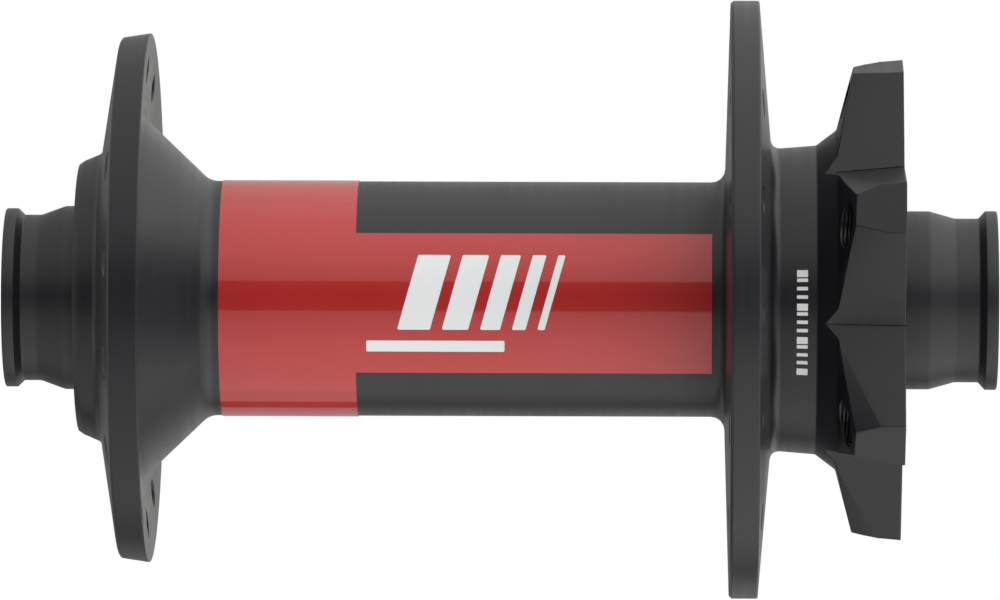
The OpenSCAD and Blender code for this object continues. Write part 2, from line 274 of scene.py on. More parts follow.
def turnedMarksGroup():
    # fine rings round the axis: noise that changes only with radius and place along the axis
    group, given, out = newGroup("turnedMarks", {"Rings per mm": 8.0}, ["Height", "Tone"])
    place = addNode(group, "ShaderNodeTexCoord").outputs["Object"]
    flat = addNode(group, "ShaderNodeVectorMath", operation="MULTIPLY")
    feed(group, place, flat.inputs[0])
    flat.inputs[1].default_value = (1, 0, 1)
    radius = addNode(group, "ShaderNodeVectorMath", operation="LENGTH")
    feed(group, flat.outputs[0], radius.inputs[0])
    split = addNode(group, "ShaderNodeSeparateXYZ")
    feed(group, place, split.inputs[0])
    rings = addNode(group, "ShaderNodeCombineXYZ")
    feed(group, radius.outputs["Value"], rings.inputs[0])
    feed(group, split.outputs[1], rings.inputs[1])
    perMetre = maths(group, "MULTIPLY", given.outputs["Rings per mm"], 1000.0)
    feed(group, noise(group, rings.outputs[0], perMetre, 3.0, 0.6, "2D"), out.inputs["Height"])
    broad = maths(group, "MULTIPLY", perMetre, 0.12)
    feed(group, noise(group, rings.outputs[0], broad, 2.0, 0.5, "2D"), out.inputs["Tone"])
    return group


def satinGrainGroup():
    # even grain of a blasted and anodised surface, with slow changes of shine
    group, given, out = newGroup("satinGrain", {"Grains per mm": 6.0}, ["Height", "Smudge"])
    place = addNode(group, "ShaderNodeTexCoord").outputs["Object"]
    perMetre = maths(group, "MULTIPLY", given.outputs["Grains per mm"], 1000.0)
    feed(group, noise(group, place, perMetre, 2.0, 0.6), out.inputs["Height"])
    feed(group, noise(group, place, 110.0, 3.0, 0.55), out.inputs["Smudge"])
    return group


def edgeWearAndHighlightGroup():
    # where the surface turns a corner within the given width, broken into patches; the lighter colour
    # laid there is partly wear and partly a painted highlight on the edges
    group, given, out = newGroup("edgeWearAndHighlight", {"Width": 0.0002, "Amount": 1.0}, ["Mask"])
    soft = addNode(group, "ShaderNodeBevel", samples=6)
    feed(group, given.outputs["Width"], soft.inputs["Radius"])
    compare = addNode(group, "ShaderNodeVectorMath", operation="DOT_PRODUCT")
    feed(group, soft.outputs[0], compare.inputs[0])
    feed(group, addNode(group, "ShaderNodeNewGeometry").outputs["Normal"], compare.inputs[1])
    corner = blendValue(group, compare.outputs["Value"], 0.995, 0.93)
    place = addNode(group, "ShaderNodeTexCoord").outputs["Object"]
    patches = blendValue(group, noise(group, place, 900.0, 3.0, 0.6), 0.4, 0.62)
    mask = maths(group, "MULTIPLY", maths(group, "MULTIPLY", corner, patches), given.outputs["Amount"])
    feed(group, mask, out.inputs["Mask"])
    return group


turnedMarks = turnedMarksGroup()
satinGrain = satinGrainGroup()
edgeWearAndHighlight = edgeWearAndHighlightGroup()


def useGroup(tree, group, **values):
    node = addNode(tree, "ShaderNodeGroup", node_tree=group)
    for label, value in values.items():
        node.inputs[label.replace("_", " ")].default_value = value
    return node.outputs


def newMaterial(name, colour, metallic, roughness):
    material = bpy.data.materials.new(name)
    material.use_nodes = True
    shader = material.node_tree.nodes["Principled BSDF"]
    shader.inputs["Base Color"].default_value = (*colour, 1)
    shader.inputs["Metallic"].default_value = metallic
    shader.inputs["Roughness"].default_value = roughness
    return material, material.node_tree, shader


def addBump(tree, shader, heights, socket="Normal"):
    # heights are (height, depth in millimetres) pairs
    total = None
    for height, depth in heights:
        scaled = maths(tree, "MULTIPLY", height, depth * mm)
        total = scaled if total is None else maths(tree, "ADD", total, scaled)
    bump = addNode(tree, "ShaderNodeBump")
    feed(tree, total, bump.inputs["Height"])
    bump.inputs["Strength"].default_value = 1.0
    bump.inputs["Distance"].default_value = 1.0
    feed(tree, bump.outputs[0], shader.inputs[socket])


# depths are in millimetres, and the width of a worn edge with its painted highlight is in metres
anodised = {"colour": (0.0108, 0.0108, 0.0148), "wornAndHighlitColour": (0.06, 0.06, 0.064), "wearAndHighlight": 0.5,
            "wornAndHighlitWidth": 0.0002, "grainDepth": 0.0014, "ringsPerMm": 9.0, "grainsPerMm": 7.0,
            "shellRoughness": 0.37, "shellRingDepth": 0.0011,
            "capRoughness": 0.42, "capRingDepth": 0.0016}


def anodisedMaterial(name, roughness, ringDepth):
    material, tree, shader = newMaterial(name, anodised["colour"], 0.0, roughness)
    rings = useGroup(tree, turnedMarks, Rings_per_mm=anodised["ringsPerMm"])
    grain = useGroup(tree, satinGrain, Grains_per_mm=anodised["grainsPerMm"])
    # edges get a lighter colour: partly wear, partly a painted highlight along the corners
    mask = useGroup(tree, edgeWearAndHighlight, Width=anodised["wornAndHighlitWidth"], Amount=anodised["wearAndHighlight"])["Mask"]
    feed(tree, mixColour(tree, mask, (*anodised["colour"], 1), (*anodised["wornAndHighlitColour"], 1)),
         shader.inputs["Base Color"])
    shine = plus(tree, spread(tree, grain["Smudge"], -0.02, 0.03),
                 spread(tree, rings["Tone"], -0.02, 0.02), roughness)
    feed(tree, shine, shader.inputs["Roughness"])
    addBump(tree, shader, [(rings["Height"], ringDepth), (grain["Height"], anodised["grainDepth"])])
    return material


shellAnodised = anodisedMaterial("shellAnodised", anodised["shellRoughness"],
                                 anodised["shellRingDepth"])
capAnodised = anodisedMaterial("capAnodised", anodised["capRoughness"], anodised["capRingDepth"])

film = {"colour": (0.49, 0.0125, 0.012), "metallic": 0.22, "roughness": 0.42,
        "coat": 0.9, "coatRoughness": 0.03, "coatIor": 1.46, "specks": (0.9, 1.12),
        "grainsPerMm": 9.0, "grainDepth": 0.0006}


def filmMaterial():
    material, tree, shader = newMaterial("decalFilm", film["colour"], film["metallic"], film["roughness"])
    grain = useGroup(tree, satinGrain, Grains_per_mm=film["grainsPerMm"])
    speck = blendValue(tree, grain["Height"], 0.35, 0.7, *film["specks"])
    tint = addNode(tree, "ShaderNodeMix", data_type="RGBA", blend_type="MULTIPLY")
    tint.inputs["Factor"].default_value = 1.0
    tint.inputs["A"].default_value = (*film["colour"], 1)
    feed(tree, speck, tint.inputs["B"])
    feed(tree, tint.outputs["Result"], shader.inputs["Base Color"])
    shader.inputs["Coat Weight"].default_value = film["coat"]
    shader.inputs["Coat Roughness"].default_value = film["coatRoughness"]
    shader.inputs["Coat IOR"].default_value = film["coatIor"]
    feed(tree, spread(tree, grain["Smudge"], film["roughness"] - 0.03, film["roughness"] + 0.04),
         shader.inputs["Roughness"])
    addBump(tree, shader, [(grain["Height"], film["grainDepth"])])
    return material


decalFilm = filmMaterial()


ink = {"colour": (0.93, 0.955, 0.98), "roughness": 0.42, "grainsPerMm": 11.0, "grainDepth": 0.0008}


def inkMaterial():
    material, tree, shader = newMaterial("whiteInk", ink["colour"], 0.0, ink["roughness"])
    grain = useGroup(tree, satinGrain, Grains_per_mm=ink["grainsPerMm"])
    feed(tree, spread(tree, grain["Smudge"], ink["roughness"] - 0.04, ink["roughness"] + 0.05),
         shader.inputs["Roughness"])
    addBump(tree, shader, [(grain["Height"], ink["grainDepth"])])
    return material


whiteInk = inkMaterial()


metals = {
    "axleAlloy": {"colour": (0.72, 0.73, 0.75), "roughness": 0.3, "ringDepth": 0.002, "ringsPerMm": 7.0},
    "bearingSteel": {"colour": (0.5, 0.5, 0.51), "roughness": 0.22, "ringDepth": 0.0012,
                     "ringsPerMm": 14.0},
}


def metalMaterial(name):
    metal = metals[name]
    depth = metal["ringDepth"]
    material, tree, shader = newMaterial(name, metal["colour"], 1.0, metal["roughness"])
    rings = useGroup(tree, turnedMarks, Rings_per_mm=metal["ringsPerMm"])
    grain = useGroup(tree, satinGrain, Grains_per_mm=5.0)
    shine = plus(tree, spread(tree, grain["Smudge"], -0.05, 0.05),
                 spread(tree, rings["Tone"], -0.025, 0.025), metal["roughness"])
    feed(tree, shine, shader.inputs["Roughness"])
    addBump(tree, shader, [(rings["Height"], depth), (grain["Height"], depth / 3)])
    return material


axleAlloy = metalMaterial("axleAlloy")
bearingSteel = metalMaterial("bearingSteel")


def ballMaterial():
    material, tree, shader = newMaterial("ballSteel", (0.72, 0.72, 0.73), 1.0, 0.06)
    grain = useGroup(tree, satinGrain, Grains_per_mm=3.0)
    feed(tree, spread(tree, grain["Smudge"], 0.04, 0.09), shader.inputs["Roughness"])
    return material


ballSteel = ballMaterial()


softs = {
    "cageNylon": {"colour": (0.62, 0.53, 0.36), "roughness": 0.48, "grainsPerMm": 5.0, "depth": 0.003},
    "sealRubber": {"colour": (0.014, 0.014, 0.015), "roughness": 0.55, "grainsPerMm": 8.0,
                   "depth": 0.004},
    "oRingRubber": {"colour": (0.01, 0.01, 0.011), "roughness": 0.38, "grainsPerMm": 6.0,
                    "depth": 0.002},
}


def softMaterial(name):
    soft = softs[name]
    colour, roughness = soft["colour"], soft["roughness"]
    material, tree, shader = newMaterial(name, colour, 0.0, roughness)
    grain = useGroup(tree, satinGrain, Grains_per_mm=soft["grainsPerMm"])
    feed(tree, spread(tree, grain["Smudge"], roughness - 0.06, roughness + 0.08),
         shader.inputs["Roughness"])
    shade = mixColour(tree, blendValue(tree, grain["Smudge"], 0.35, 0.7),
                      (*colour, 1), (*[c * 1.25 + 0.002 for c in colour], 1))
    feed(tree, shade, shader.inputs["Base Color"])
    addBump(tree, shader, [(grain["Height"], soft["depth"])])
    return material


cageNylon = softMaterial("cageNylon")
sealRubber = softMaterial("sealRubber")
oRingRubber = softMaterial("oRingRubber")
print("finishes mixed")


# mesh helpers; outlines are in millimetres as (radius, place along the axis, rounding)
def roundedCorner(before, corner, after, radius, steps):
    toBefore = (before - corner).normalized()
    toAfter = (after - corner).normalized()
    half = toBefore.angle(toAfter) / 2
    middle = corner + (toBefore + toAfter).normalized() * radius / math.sin(half)
    start = corner + toBefore * radius / math.tan(half) - middle
    end = corner + toAfter * radius / math.tan(half) - middle
    return [middle + start.slerp(end, i / steps) * radius for i in range(steps + 1)]


def rounded(corners, steps=4):
    points = [Vector((c[0], c[1])) for c in corners]
    line = []
    for i, corner in enumerate(corners):
        if len(corner) > 2 and corner[2]:
            after = points[(i + 1) % len(points)]
            line += roundedCorner(points[i - 1], points[i], after, corner[2], steps)
        else:
            line.append(points[i])
    return line


def arc(centre, radius, start, end, steps):
    line = []
    for i in range(steps + 1):
        angle = math.radians(start + (end - start) * i / steps)
        line.append((centre[0] + radius * math.cos(angle), centre[1] + radius * math.sin(angle)))
    return line


def turned(line, steps=192):
    # a closed outline turned round the hub's axis
    bm = bmesh.new()
    verts = [bm.verts.new((p[0] * mm, p[1] * mm, 0)) for p in line]
    edges = [bm.edges.new((verts[i - 1], verts[i])) for i in range(len(verts))]
    bmesh.ops.spin(bm, geom=verts + edges, cent=(0, 0, 0), axis=(0, 1, 0), angle=math.tau,
                   steps=steps, use_merge=True, use_duplicate=False)
    bmesh.ops.remove_doubles(bm, verts=bm.verts, dist=1e-7)
    bmesh.ops.recalc_face_normals(bm, faces=bm.faces)
    return bm


def upFromX(angle):
    # turn about the hub's axis; angles count upwards from +X
    return Matrix.Rotation(-math.radians(angle), 4, "Y")


def roundTheAxis(radius, count, first):
    shift = Matrix.Translation((radius * mm, 0, 0))
    return [upFromX(first + i * 360 / count) @ shift for i in range(count)]


def repeated(template, places):
    # one bmesh with a copy of the template at each place
    mesh = bpy.data.meshes.new("template")
    template.to_mesh(mesh)
    template.free()
    bm = bmesh.new()
    for place in places:
        before = len(bm.verts)
        bm.from_mesh(mesh)
        bm.verts.ensure_lookup_table()
        bmesh.ops.transform(bm, matrix=place, verts=bm.verts[before:])
    bmesh.ops.recalc_face_normals(bm, faces=bm.faces)
    bpy.data.meshes.remove(mesh)
    return bm


def carve(bm, cutters):
    # takes each cutter out of bm with an exact boolean
    target = bpy.data.objects.new("carveTarget", bpy.data.meshes.new("carveTarget"))
    bm.to_mesh(target.data)
    scene.collection.objects.link(target)
    tools = []
    for cutter in cutters:
        tool = bpy.data.objects.new("carveTool", bpy.data.meshes.new("carveTool"))
        cutter.to_mesh(tool.data)
        cutter.free()
        scene.collection.objects.link(tool)
        step = target.modifiers.new("carve", "BOOLEAN")
        step.operation = "DIFFERENCE"
        step.solver = "EXACT"
        step.object = tool
        tools.append(tool)
    graph = bpy.context.evaluated_depsgraph_get()
    mesh = bpy.data.meshes.new_from_object(target.evaluated_get(graph), depsgraph=graph)
    bm.clear()
    bm.from_mesh(mesh)
    bpy.data.meshes.remove(mesh)
    for used in [target] + tools:
        data = used.data
        bpy.data.objects.remove(used)
        bpy.data.meshes.remove(data)


def softenEdges(bm, width, angle, segments=2, weld=0.0):
    # rounds every edge that turns more than the angle
    if weld:
        bmesh.ops.remove_doubles(bm, verts=bm.verts, dist=weld * mm)
        bmesh.ops.dissolve_degenerate(bm, edges=bm.edges, dist=weld * mm / 2)
    sharp = [e for e in bm.edges if e.is_manifold and e.calc_face_angle(0) > math.radians(angle)]
    bmesh.ops.bevel(bm, geom=sharp, offset=width * mm, offset_type="OFFSET", segments=segments,
                    profile=0.5, affect="EDGES", clamp_overlap=False, material=-1)


def flatCreases(bm, angle, area):
    # edges between two large flat faces that turn more than the angle
    bm.edges.index_update()
    found = []
    for edge in bm.edges:
        if edge.is_manifold and edge.calc_face_angle(0) > math.radians(angle):
            if min(face.calc_area() for face in edge.link_faces) > area * mm * mm:
                found.append(edge.index)
    return found


def finishPiece(bm, name, body, material, nodes=(), smoothAngle=35, creases=()):
    for face in bm.faces:
        face.smooth = True
    mesh = bpy.data.meshes.new(name)
    bm.to_mesh(mesh)
    bm.free()
    mesh.set_sharp_from_angle(angle=math.radians(smoothAngle))
    for index in creases:
        mesh.edges[index].use_edge_sharp = True
    mesh.materials.append(material)
    piece = bpy.data.objects.new(name, mesh)
    scene.collection.objects.link(piece)
    shading = piece.modifiers.new("shading", "WEIGHTED_NORMAL")
    shading.keep_sharp = True
    shading.weight = 50
    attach(piece, body)
    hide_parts(*nodes)
    return piece


# shell; the neck tapers between its foot and its top, and the printed ticks lie on it
neckFoot = (16.75, 29.95)
neckTop = (17.15, 34.9)
shell = {
    "outside": [(14.85, plainFace, 0.12), (15.25, plainFace + 0.6, 0.4), (15.95, -44.6, 0.4),
                (16.3, -44.2, 0.2), (28.65, -42.2, 0.25), (28.95, -42.0, 0.25), (29.4, -39.0, 0.12),
                (29.3, -38.9, 0.12), (20.2, -39.85, 0.4), (13.03, -32.35, 2.2), (13.03, 24.8, 1.5),
                (discRim - 0.3, 25.38, 0.15), (discRim, 25.7, 0.15), (discRim, 28.45, 0.13),
                (discRim - 0.12, 28.58, 0.13), (*neckFoot, 1.0), (*neckTop, 0.4),
                (18.85, 37.15, 0.6), (25.9, 39.0, 0.25), (26.4, 41.2, 0.6),
                (26.7, rotorFace - 0.15, 0.1), (26.55, rotorFace, 0.1)],
    "inside": [(seatRadius + 0.4, rotorFace, 0.1), (seatRadius, rotorFace - 0.4, 0.1),
               (seatRadius, 38.5, 0.12), (12, 38.5, 0.12), (12, 35.5, 0.2), (11.5, 34.5, 0.2),
               (11.5, -38, 0.2), (12, -39, 0.2), (12, -41, 0.12), (seatRadius, -41, 0.12),
               (seatRadius, plainFace + 0.4, 0.1), (seatRadius + 0.4, plainFace, 0.1)],
    "plainSpokes": {"circle": 25.1, "first": 34.9, "faces": (-42.75, -39.33)},
    "discSpokes": {"circle": 29.0, "first": 47.8, "faces": (25.26, 28.9)},
    "spokeHole": 1.3, "spokeCount": 14,
    "armFirst": 22.0, "arms": 6, "boltCircle": 22.0, "threadCrest": 2.1, "threadRoot": 2.5,
    "threadStart": 36.7, "threadTurns": 9, "threadPitch": 0.8,
    "armBacks": [(14, 30), (30, 30), (30, 40.2), (25.9, 39.12), (18.85, 37.27), (14, 36.0)],
    "valleyRadius": 18.75, "valleyLowWall": 60.3, "valleyHighWall": 65.8, "valleyLean": 6.3,
    "valleySkew": -0.5, "valleyDrop": 13.5, "valleyReach": 6.8,
    "tip": (25.96, 42, 0), "tipOutward": (1, -0.079, -0.112),
    "upperFacet": [(26.42, 42.0, 3.02), (26.01, 39.0, 1.786), (18.25, 37.5, 7.315)],
    "lowerFacet": [(25.57, 41.85, -2.43), (25.45, 39.0, -1.69), (19.13, 37.6, -6.57)],
    "facetSlope": 29,
    "edge": 0.1, "rootGroove": (0.15, 0.14),
}


def spokeCutter(low, high):
    r = shell["spokeHole"]
    return turned(rounded([(0, low - 1), (r + 2, low - 1.2), (r + 0.8, low - 0.4), (r, low + 0.4, 0.3),
                           (r, high - 0.4, 0.3), (r + 0.8, high + 0.4), (r + 2, high + 1.2),
                           (0, high + 1)]), steps=32)


def boltCutter():
    r = shell["threadRoot"]
    return turned(rounded([(0, 36), (r, 36), (r, rotorFace - 0.35, 0.15), (r + 0.5, rotorFace + 0.15),
                           (r + 1.5, rotorFace + 1), (0, rotorFace + 1)]), steps=48)


def valleyCutter():
    # open V whose edge leans in towards the neck; its upper wall is the steeper one
    reach = shell["valleyReach"]
    down = -reach * math.tan(math.radians(shell["valleyLowWall"]))
    up = reach * math.tan(math.radians(shell["valleyHighWall"]))
    bm = bmesh.new()
    corners = [(0, 0), (reach, down), (reach + 3.2, 0), (reach - 0.7, up * (reach - 0.7) / reach)]
    base = bm.faces.new([bm.verts.new((x * mm, -shell["valleyDrop"] * mm, z * mm)) for x, z in corners])
    grown = bmesh.ops.extrude_face_region(bm, geom=[base])["geom"]
    top = [g for g in grown if isinstance(g, bmesh.types.BMVert)]
    bmesh.ops.translate(bm, verts=top, vec=(0, (shell["valleyDrop"] + 2) * mm, 0))
    lean = Matrix.Rotation(-math.radians(shell["valleyLean"]), 4, "Z")
    bmesh.ops.transform(bm, matrix=Matrix.Translation((0, rotorFace * mm, 0)) @ lean, verts=bm.verts)
    return bm


def grooveCutter():
    # hairline that the cutter leaves along the bottom of a valley
    depth, width = shell["rootGroove"]
    bm = bmesh.new()
    bmesh.ops.create_cube(bm, size=mm)
    bmesh.ops.scale(bm, vec=(depth + 0.1, 9.6, width), verts=bm.verts)
    bmesh.ops.translate(bm, vec=((0.1 - depth) / 2 * mm, -2.8 * mm, 0), verts=bm.verts)
    lean = Matrix.Rotation(-math.radians(shell["valleyLean"]), 4, "Z")
    bmesh.ops.transform(bm, matrix=Matrix.Translation((0, rotorFace * mm, 0)) @ lean, verts=bm.verts)
    return bm


def blockInside(size, planes):
    # a block cut down to what lies behind every plane; planes are (point, outward direction)
    bm = bmesh.new()
    bmesh.ops.create_cube(bm, size=size * mm, matrix=Matrix.Translation((21 * mm, 40 * mm, 0)))
    for point, outward in planes:
        cut = bmesh.ops.bisect_plane(bm, geom=bm.verts[:] + bm.edges[:] + bm.faces[:], dist=1e-7,
                                     plane_co=Vector(point) * mm, plane_no=outward, clear_outer=True)
        rim = [g for g in cut["geom_cut"] if isinstance(g, bmesh.types.BMEdge)]
        bmesh.ops.holes_fill(bm, edges=rim)
    return bm


def facetCutter(points, side):
    # thins one back corner of an arm towards its tip; side is 1 for the upper corner
    flank, back, root = [Vector(p) for p in points]
    plane = (flank - root).cross(back - root) * side
    slope = math.radians(shell["facetSlope"])
    return blockInside(40, [(root, plane), ((17.4, 0, 0), (-1, 0, 0)), ((0, 33, 0), (0, -1, 0)),
                            ((0, 0, 0), (-math.sin(slope), 0, side * math.cos(slope))),
                            ((28.5, 0, 0), (1, 0, 0)), ((0, 46, 0), (0, 1, 0))])


def tipCutter():
    outward = Vector(shell["tipOutward"])
    return blockInside(40, [(shell["tip"], -outward), ((0, 37, 0), (0, -1, 0)), ((0, 46, 0), (0, 1, 0)),
                            ((0, 0, 8), (0, 0, 1)), ((0, 0, -8), (0, 0, -1)), ((28.5, 0, 0), (1, 0, 0))])


def threadTemplate():
    # helical ridge that stands in from the hole's wall
    bm = bmesh.new()
    root = shell["threadRoot"] + 0.05
    crest = shell["threadCrest"]
    section = [(root, -0.36), (crest, -0.07), (crest, 0.07), (root, 0.36)]
    start = shell["threadStart"]
    end = bm.faces.new([bm.verts.new((x * mm, (y + start) * mm, 0)) for x, y in section])
    turns = shell["threadTurns"]
    perTurn = 24
    rise = shell["threadPitch"] / perTurn * mm
    bmesh.ops.spin(bm, geom=[end], cent=(0, 0, 0), axis=(0, 1, 0), dvec=(0, rise, 0),
                   angle=turns * math.tau, steps=turns * perTurn, use_merge=False,
                   use_duplicate=False)
    bmesh.ops.recalc_face_normals(bm, faces=bm.faces)
    return bm


def buildShell():
    bm = turned(rounded(shell["outside"] + shell["inside"]))
    plain = shell["plainSpokes"]
    disc = shell["discSpokes"]
    count = shell["spokeCount"]
    armStep = 360 / shell["arms"]
    armPlaces = roundTheAxis(0, shell["arms"], shell["armFirst"])
    valleys = shell["armFirst"] + armStep / 2 + shell["valleySkew"]
    carve(bm, [
        repeated(spokeCutter(*plain["faces"]), roundTheAxis(plain["circle"], count, plain["first"])),
        repeated(spokeCutter(*disc["faces"]), roundTheAxis(disc["circle"], count, disc["first"])),
        repeated(boltCutter(), roundTheAxis(shell["boltCircle"], shell["arms"], shell["armFirst"])),
        repeated(valleyCutter(), roundTheAxis(shell["valleyRadius"], shell["arms"], valleys)),
        repeated(facetCutter(shell["upperFacet"], 1), armPlaces),
        repeated(facetCutter(shell["lowerFacet"], -1), armPlaces),
        repeated(tipCutter(), armPlaces),
    ])
    print("shell carved:", len(bm.faces), "faces")
    softenEdges(bm, shell["edge"], 22, weld=0.02)
    carve(bm, [repeated(grooveCutter(), roundTheAxis(shell["valleyRadius"], shell["arms"], valleys))])
    finishPiece(bm, "shellBody", "shell", shellAnodised, ["hub_shell"],
                creases=flatCreases(bm, 4, 4.0))
    threads = repeated(threadTemplate(), roundTheAxis(shell["boltCircle"], shell["arms"],
                                                      shell["armFirst"]))
    # the ridges begin just inside the sloping back of the arms
    carve(threads, [turned(shell["armBacks"])])
    print("threads cut:", len(threads.faces), "faces")
    finishPiece(threads, "rotorThreads", "shell", shellAnodised)


buildShell()
print("shell built")


# decal film and the white marks
decal = {"bandHigh": -15.8, "tongueTop": 33.3, "tongueBottom": -38.5, "edge": 0.02, "film": 0.1,
         "bars": [3.6, 2.9, 2.2, 1.5, 0.8], "barFirst": -11.2, "barGap": 1.3, "barSlant": 2.3,
         "barHeights": (-3.4, 4.8), "line": (-14.6, 0.6, -5.8, -4.6), "markRounding": 0.16,
         "printThickness": 0.05, "slice": 0.4,
         "ticks": 13, "tickFirst": 11.0, "tickPitch": 3.1, "tickWidth": 1.3, "tickPlaces": (32.65, 33.85)}


def thickened(bm, radiusAt, thickness):
    # gives a curved sheet its thickness, outwards from the axis
    grown = bmesh.ops.extrude_face_region(bm, geom=bm.faces[:])["geom"]
    for vert in [g for g in grown if isinstance(g, bmesh.types.BMVert)]:
        scale = 1 + thickness / radiusAt(vert.co.y / mm)
        vert.co.x *= scale
        vert.co.z *= scale
    bmesh.ops.recalc_face_normals(bm, faces=bm.faces)


def buildFilm():
    radius = -filmLow.x - decal["film"]
    bm = bmesh.new()
    start = upFromX(decal["tongueBottom"])
    places = [filmLow.y, decal["bandHigh"], filmHigh.y]
    verts = [bm.verts.new(start @ Vector((radius * mm, y * mm, 0))) for y in places]
    edges = [bm.edges.new(pair) for pair in zip(verts, verts[1:])]
    tongue = decal["tongueTop"] - decal["tongueBottom"]
    bmesh.ops.spin(bm, geom=verts + edges, cent=(0, 0, 0), axis=(0, 1, 0),
                   angle=-math.radians(tongue), steps=40)
    start = upFromX(decal["tongueTop"])
    verts = [bm.verts.new(start @ Vector((radius * mm, y * mm, 0))) for y in places[:2]]
    edges = [bm.edges.new(verts)]
    bmesh.ops.spin(bm, geom=verts + edges, cent=(0, 0, 0), axis=(0, 1, 0),
                   angle=-math.radians(360 - tongue), steps=160)
    bmesh.ops.remove_doubles(bm, verts=bm.verts, dist=1e-6)
    thickened(bm, lambda y: radius, decal["film"])
    softenEdges(bm, decal["edge"], 60)
    finishPiece(bm, "decalSheet", "shell", decalFilm, ["shell_decal"])


def pressOn(bm, outline, radiusAt, thickness):
    # a flat outline of (place, height) pressed onto a round surface that faces +X
    sheet = bmesh.new()
    sheet.faces.new([sheet.verts.new((0, p[0] * mm, p[1] * mm)) for p in outline])
    low = min(p[1] for p in outline)
    high = max(p[1] for p in outline)
    slices = max(1, math.ceil((high - low) / decal["slice"]))
    for i in range(1, slices):
        height = low + (high - low) * i / slices
        bmesh.ops.bisect_plane(sheet, geom=sheet.verts[:] + sheet.edges[:] + sheet.faces[:], dist=1e-8,
                               plane_co=(0, 0, height * mm), plane_no=(0, 0, 1))
    for vert in sheet.verts:
        vert.co.x = math.sqrt((radiusAt(vert.co.y / mm) * mm) ** 2 - vert.co.z ** 2)
    thickened(sheet, radiusAt, thickness)
    mesh = bpy.data.meshes.new("mark")
    sheet.to_mesh(mesh)
    sheet.free()
    bm.from_mesh(mesh)
    bpy.data.meshes.remove(mesh)


def buildMarks():
    bm = bmesh.new()
    corner = decal["markRounding"]
    start = decal["barFirst"]
    low, high = decal["barHeights"]
    slant = decal["barSlant"]
    outlines = []
    for width in decal["bars"]:
        outlines.append([(start, low, corner), (start + width, low, corner),
                         (start + width + slant, high, corner), (start + slant, high, corner)])
        start += width + decal["barGap"]
    left, right, low, high = decal["line"]
    outlines.append([(left, low, corner), (right, low, corner), (right, high, corner),
                     (left, high, corner)])
    for outline in outlines:
        pressOn(bm, rounded(outline), lambda y: filmRadius, decal["printThickness"])
    finishPiece(bm, "decalBars", "shell", whiteInk, ["decal_print"])


def neckAt(place):
    rise = (neckTop[0] - neckFoot[0]) / (neckTop[1] - neckFoot[1])
    return neckFoot[0] + (place - neckFoot[1]) * rise


def buildTicks():
    bm = bmesh.new()
    for i in range(decal["ticks"]):
        top = decal["tickFirst"] - i * decal["tickPitch"]
        width = decal["tickWidth"] * (2 if i % 4 == 0 else 1)
        low, high = decal["tickPlaces"]
        corners = [(low, top - width), (high, top - width), (high, top), (low, top)]
        outline = [(y, neckAt(y) * math.sin(math.radians(angle)), 0.06) for y, angle in corners]
        pressOn(bm, rounded(outline), neckAt, decal["printThickness"])
    finishPiece(bm, "neckTicks", "shell", whiteInk, ["neck_print"])


buildFilm()
buildMarks()
buildTicks()
print("decal and marks laid on")


# axle tube
axle = {"bore": 7.5, "stub": 8.5, "body": 8.9, "collar": 9.6, "collarWidth": 3.0, "stubLength": 4.8}


def buildAxle():
    plainStop = plainRace + bearingWidth
    discStop = discRace - bearingWidth
    plainEnd = plainRace - axle["stubLength"]
    discEnd = discRace + axle["stubLength"]
    bore, stub, body, collar = axle["bore"], axle["stub"], axle["body"], axle["collar"]
    width = axle["collarWidth"]
    bm = turned(rounded([
        (bore, plainEnd, 0.15), (stub - 0.3, plainEnd, 0.1), (stub, plainEnd + 0.3, 0.1),
        (stub, plainStop, 0.1), (collar, plainStop, 0.15), (collar, plainStop + width, 0.15),
        (body, plainStop + width + 1, 0.4), (body, discStop - width - 1, 0.4),
        (collar, discStop - width, 0.15), (collar, discStop, 0.15), (stub, discStop, 0.1),
        (stub, discEnd - 0.3, 0.1), (stub - 0.3, discEnd, 0.1), (bore, discEnd, 0.15)]), steps=128)
    finishPiece(bm, "axleTube", "axle", axleAlloy, ["axle_tube"])


# end caps, with the O-ring that grips the axle stub
cap = {"bore": 7.5, "stub": 8.5, "clearance": 0.03, "ringWidth": 0.8, "ringPlace": 2.2,
       "foot": 9.55, "skirt": 12.3, "lip": 9.92, "lipWidth": 1.3, "lipCorner": 0.12, "socketDepth": 5.0,
       "plain": {"base": 10.19, "taperLow": 48.4, "taperHigh": 51.1, "barrel": 9.2},
       "disc": {"base": 9.89, "taperLow": 47.5, "taperHigh": 50.3, "barrel": 9.09}}


